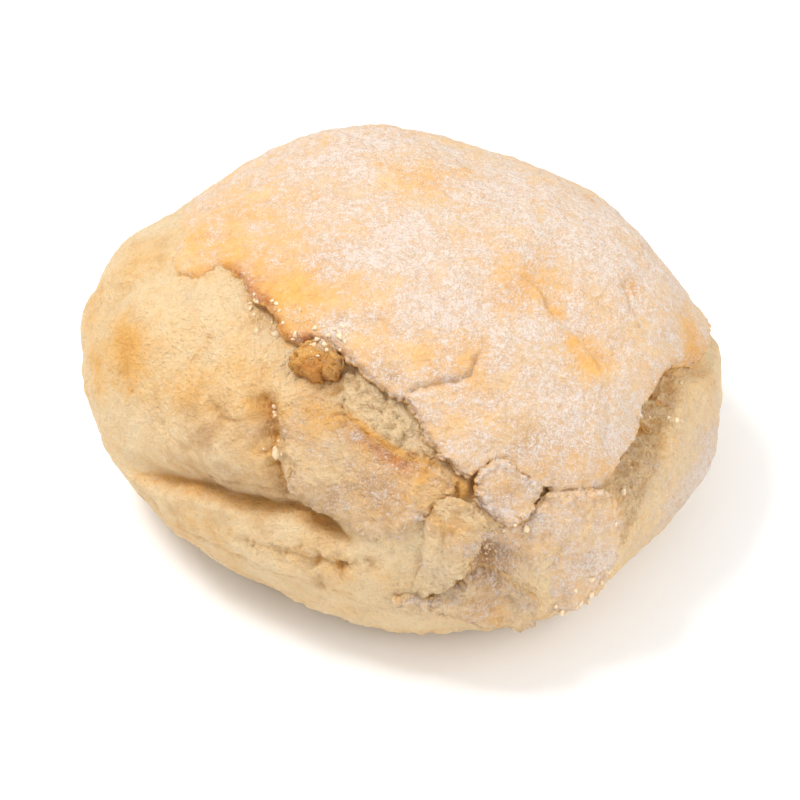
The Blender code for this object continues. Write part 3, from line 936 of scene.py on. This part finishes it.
def ramp(tree, value, low, high, to_low=0.0, to_high=1.0):
    inputs = {"Value": value, "From Min": low, "From Max": high, "To Min": to_low, "To Max": to_high}
    return put(tree, "ShaderNodeMapRange", inputs, interpolation_type="SMOOTHSTEP").outputs["Result"]


def blend(tree, share, first, second):
    node = put(tree, "ShaderNodeMix", data_type="RGBA")
    feed(tree, node.inputs["Factor"], share)
    feed(tree, node.inputs[6], first)
    feed(tree, node.inputs[7], second)
    return node.outputs[2]


def noise_at(tree, size_mm, detail=2.0, roughness=0.5, where=None):
    inputs = {"Scale": 1.0 / (size_mm * MM), "Detail": detail, "Roughness": roughness}
    if where is None:
        where = put(tree, "ShaderNodeTexCoord").outputs["Object"]
    inputs["Vector"] = where
    return put(tree, "ShaderNodeTexNoise", inputs).outputs["Fac"]


def new_group(name, inputs, outputs):
    group = bpy.data.node_groups.new(name, "ShaderNodeTree")
    for label, kind, value in inputs:
        socket = group.interface.new_socket(label, in_out="INPUT", socket_type=kind)
        socket.default_value = value
    for label, kind in outputs:
        group.interface.new_socket(label, in_out="OUTPUT", socket_type=kind)
    return group, put(group, "NodeGroupInput").outputs, put(group, "NodeGroupOutput").inputs


def browning_group():
    """The colour of dough or crust for how far the oven took it, mottled as a real bake is.

    Its baked input also carries painted shade. It greys the colour at random and for painted shade, and paints
    shade into the skin's pores.
    """
    group, given, made = new_group(
        "oven_browning",
        (
            ("Baked And Shade", "NodeSocketFloat", 0.2),
            ("Mottle", "NodeSocketFloat", 0.1),
            ("Shade And Grey", "NodeSocketFloat", 0.0),
        ),
        (("Color", "NodeSocketColor"),),
    )
    broad = noise_at(group, 9.0, 3.0, 0.6)
    fine = noise_at(group, 1.4, 4.0, 0.7)
    uneven = reckon(group, "ADD", reckon(group, "MULTIPLY", broad, 1.1), reckon(group, "MULTIPLY", fine, 0.9))
    uneven = reckon(group, "MULTIPLY", reckon(group, "SUBTRACT", uneven, 1.0), given["Mottle"])
    level = reckon(group, "ADD", given["Baked And Shade"], uneven)
    tint = blend(group, ramp(group, level, 0.0, 0.40), PALE_DOUGH, GOLDEN)
    tint = blend(group, ramp(group, level, 0.34, 0.74), tint, BROWNED)
    tint = blend(group, ramp(group, level, 0.72, 1.05), tint, BURNT)
    # Grey: random greyer mottling, plus the painted shade that the piece asks for.
    grey_and_shade = reckon(group, "SUBTRACT", noise_at(group, 4.5, 4.0, 0.65), 0.5)
    grey_and_shade = reckon(group, "ADD", given["Shade And Grey"], reckon(group, "MULTIPLY", grey_and_shade, 2.0))
    tint = blend(group, ramp(group, grey_and_shade, 0.0, 1.0, 0.0, 0.85), tint, GREY_AND_SHADE_TONE)
    # Painted shade in the pores, with the same noise by which the skin's bump sinks them.
    pore_shade = ramp(group, noise_at(group, 0.6, 3.0, 0.7), 0.54, 0.72, 0.0, 0.4)
    tint = blend(group, pore_shade, tint, GREY_AND_SHADE_TONE)
    group.links.new(tint, made["Color"])
    return group


def flour_group():
    """Flour on crust: a thin film, specks of loose grains on it, and their height."""
    group, given, made = new_group(
        "flour_dust",
        (("Floury", "NodeSocketFloat", 0.5), ("Speck Size", "NodeSocketFloat", 0.45)),
        (("Film", "NodeSocketFloat"), ("Grains", "NodeSocketFloat"), ("Height", "NodeSocketFloat")),
    )
    where = put(group, "ShaderNodeTexCoord").outputs["Object"]
    scale = reckon(group, "DIVIDE", 1.0 / MM, given["Speck Size"])
    settings = {"Vector": where, "Scale": scale, "Detail": 3.0, "Roughness": 0.65}
    fine = put(group, "ShaderNodeTexNoise", settings).outputs["Fac"]
    smudges = noise_at(group, 1.1, 4.0, 0.7, where)
    patchy = noise_at(group, 4.2, 4.0, 0.65, where)
    uneven = reckon(group, "MULTIPLY", reckon(group, "SUBTRACT", patchy, 0.5), 1.3)
    level = reckon(group, "ADD", given["Floury"], uneven)
    film = ramp(group, level, 0.05, 1.0, 0.0, 0.85)
    from_fine, from_smudges = reckon(group, "MULTIPLY", fine, 0.62), reckon(group, "MULTIPLY", smudges, 0.38)
    speck = reckon(group, "ADD", from_fine, from_smudges)
    threshold = ramp(group, level, -0.1, 1.15, 0.64, 0.45)
    grains = ramp(group, reckon(group, "SUBTRACT", speck, threshold), -0.05, 0.09, 0.0, 0.9)
    group.links.new(film, made["Film"])
    group.links.new(grains, made["Grains"])
    group.links.new(reckon(group, "ADD", grains, fine), made["Height"])
    return group


def crumb_group():
    """Open crumb: small pits and threads. The pits are a mask for painted shade."""
    group, given, made = new_group(
        "open_crumb",
        (("Torn", "NodeSocketFloat", 0.5),),
        (("Pits", "NodeSocketFloat"), ("Height", "NodeSocketFloat")),
    )
    rough = noise_at(group, 1.3, 4.0, 0.65)
    threads = noise_at(group, 0.5, 2.0, 0.5)
    depth = reckon(group, "ADD", rough, reckon(group, "MULTIPLY", threads, 0.35))
    # The pits, where the crumb's bump is lowest, are the mask for painted shade.
    pits = ramp(group, depth, 0.78, 0.5)
    group.links.new(reckon(group, "MULTIPLY", pits, given["Torn"]), made["Pits"])
    group.links.new(reckon(group, "MULTIPLY", depth, given["Torn"]), made["Height"])
    return group


def bread_material(name, groups, mottle, roughness, grain_height, skin_height):
    """Dough or crust from the oven. Its browning, flour, open crumb and painted shade follow the piece's own
    attributes.
    """
    material = bpy.data.materials.new(name)
    material.use_nodes = True
    tree = material.node_tree
    shader = tree.nodes["Principled BSDF"]

    def amount(label):
        return put(tree, "ShaderNodeAttribute", attribute_name=label).outputs["Fac"]

    def use(key, inputs):
        node = tree.nodes.new("ShaderNodeGroup")
        node.node_tree = groups[key]
        for label, value in inputs.items():
            feed(tree, node.inputs[label], value)
        return node.outputs

    shade_and_grey = amount("shade_and_grey")
    brown = use("browning", {"Baked And Shade": amount("baked_and_shade"), "Mottle": mottle, "Shade And Grey": shade_and_grey})
    crumb = use("crumb", {"Torn": amount("torn")})
    flour = use("flour", {"Floury": amount("floury"), "Speck Size": SPECK_SIZE})
    # Flour in painted shade is darker.
    film = blend(tree, ramp(tree, shade_and_grey, 0.1, 1.0), FLOUR_FILM, FLOUR_IN_SHADE)
    # Painted shade in the open crumb's pits.
    tint = blend(tree, reckon(tree, "MULTIPLY", crumb["Pits"], 0.4), brown["Color"], CRUMB_PIT_SHADE)
    tint = blend(tree, flour["Film"], tint, film)
    tint = blend(tree, flour["Grains"], tint, FLOUR_GRAIN)
    tree.links.new(tint, shader.inputs["Base Color"])
    shader.inputs["Roughness"].default_value = roughness
    shader.inputs["Specular IOR Level"].default_value = 0.25
    for label, value in SUBSURFACE.items():
        shader.inputs["Subsurface " + label].default_value = value

    folds = reckon(tree, "MULTIPLY", noise_at(tree, 1.6, 4.0, 0.65), skin_height)
    pores = reckon(tree, "MULTIPLY", noise_at(tree, 0.6, 3.0, 0.7), 0.7 * skin_height)
    height = reckon(tree, "SUBTRACT", folds, pores)
    height = reckon(tree, "ADD", height, reckon(tree, "MULTIPLY", flour["Height"], grain_height))
    height = reckon(tree, "ADD", height, reckon(tree, "MULTIPLY", crumb["Height"], 0.8))
    bump = put(tree, "ShaderNodeBump", {"Strength": 1.0, "Distance": MM, "Height": height})
    tree.links.new(bump.outputs["Normal"], shader.inputs["Normal"])
    return material


def plain_material(name, tint, roughness):
    material = bpy.data.materials.new(name)
    material.use_nodes = True
    shader = material.node_tree.nodes["Principled BSDF"]
    shader.inputs["Base Color"].default_value = tint
    shader.inputs["Roughness"].default_value = roughness
    shader.inputs["Specular IOR Level"].default_value = 0.2
    return material


# ---------------------------------------------------------------- floor, light and camera
CAMERA_RISE = 46.0
CAMERA_DISTANCE = 0.640
CAMERA_AIM = (0.0, -1.76, 22.3)
LENS = 164.7
FLOOR_HALF = 1.5
DAYLIGHT = 0.78
LIGHT_AIM = (0.0, 0.0, 0.02)

# The lamps, as (name, place in metres, side, power).
SOFTBOXES = (("key", (-0.42, 0.10, 0.84), 0.3, 5.8), ("fill", (0.50, -0.34, 0.55), 0.6, 2.6))


def make_floor():
    mesh = bpy.data.meshes.new("floor")
    corners = [(FLOOR_HALF * x, FLOOR_HALF * y, 0.0) for x, y in ((-1, -1), (1, -1), (1, 1), (-1, 1))]
    mesh.from_pydata(corners, [], [(0, 1, 2, 3)])
    mesh.materials.append(plain_material("white_floor", FLOOR_WHITE, 0.9))
    floor = bpy.data.objects.new("floor", mesh)
    bpy.context.scene.collection.objects.link(floor)
    return floor


def add_softbox(name, place, size, power):
    light = bpy.data.lights.new(name, "AREA")
    light.shape = "SQUARE"
    light.size = size
    light.energy = power
    lamp = bpy.data.objects.new(name, light)
    lamp.location = place
    lamp.rotation_euler = (Vector(LIGHT_AIM) - Vector(place)).to_track_quat("-Z", "Y").to_euler()
    bpy.context.scene.collection.objects.link(lamp)


def add_daylight(strength):
    world = bpy.data.worlds.new("daylight")
    world.use_nodes = True
    world.node_tree.nodes["Background"].inputs["Color"].default_value = (1.0, 1.0, 1.0, 1.0)
    world.node_tree.nodes["Background"].inputs["Strength"].default_value = strength
    bpy.context.scene.world = world


def add_camera():
    rise = math.radians(CAMERA_RISE)
    aim = (Vector(CAMERA_AIM) - Vector(PLAN_MIDDLE)) * MM
    camera = bpy.data.cameras.new("camera")
    camera.lens = LENS
    camera.clip_start = 0.01
    eye = bpy.data.objects.new("camera", camera)
    eye.location = aim + CAMERA_DISTANCE * Vector((0.0, -math.cos(rise), math.sin(rise)))
    eye.rotation_euler = (math.pi / 2 - rise, 0.0, 0.0)
    bpy.context.scene.collection.objects.link(eye)
    bpy.context.scene.camera = eye


# ---------------------------------------------------------------- the roll
groups = {"browning": browning_group(), "flour": flour_group(), "crumb": crumb_group()}
floured = bread_material("floured_crust", groups, *FLOURED_CRUST)
golden = bread_material("golden_crust", groups, *GOLDEN_CRUST)
pale = bread_material("pale_dough", groups, *PALE_SKIN)

dough = make_dough(pale)
crust = make_crust(floured, golden)

crumbs = make_crumbs([dough, *crust], plain_material("loose_crumb", CRUMB_PALE, 0.9))

for piece in [dough, *crust, crumbs]:
    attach(piece, "root")
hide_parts("bread_roll")

make_floor()
add_daylight(DAYLIGHT)
for softbox in SOFTBOXES:
    add_softbox(*softbox)
add_camera()
bpy.context.scene.view_settings.view_transform = "Standard"
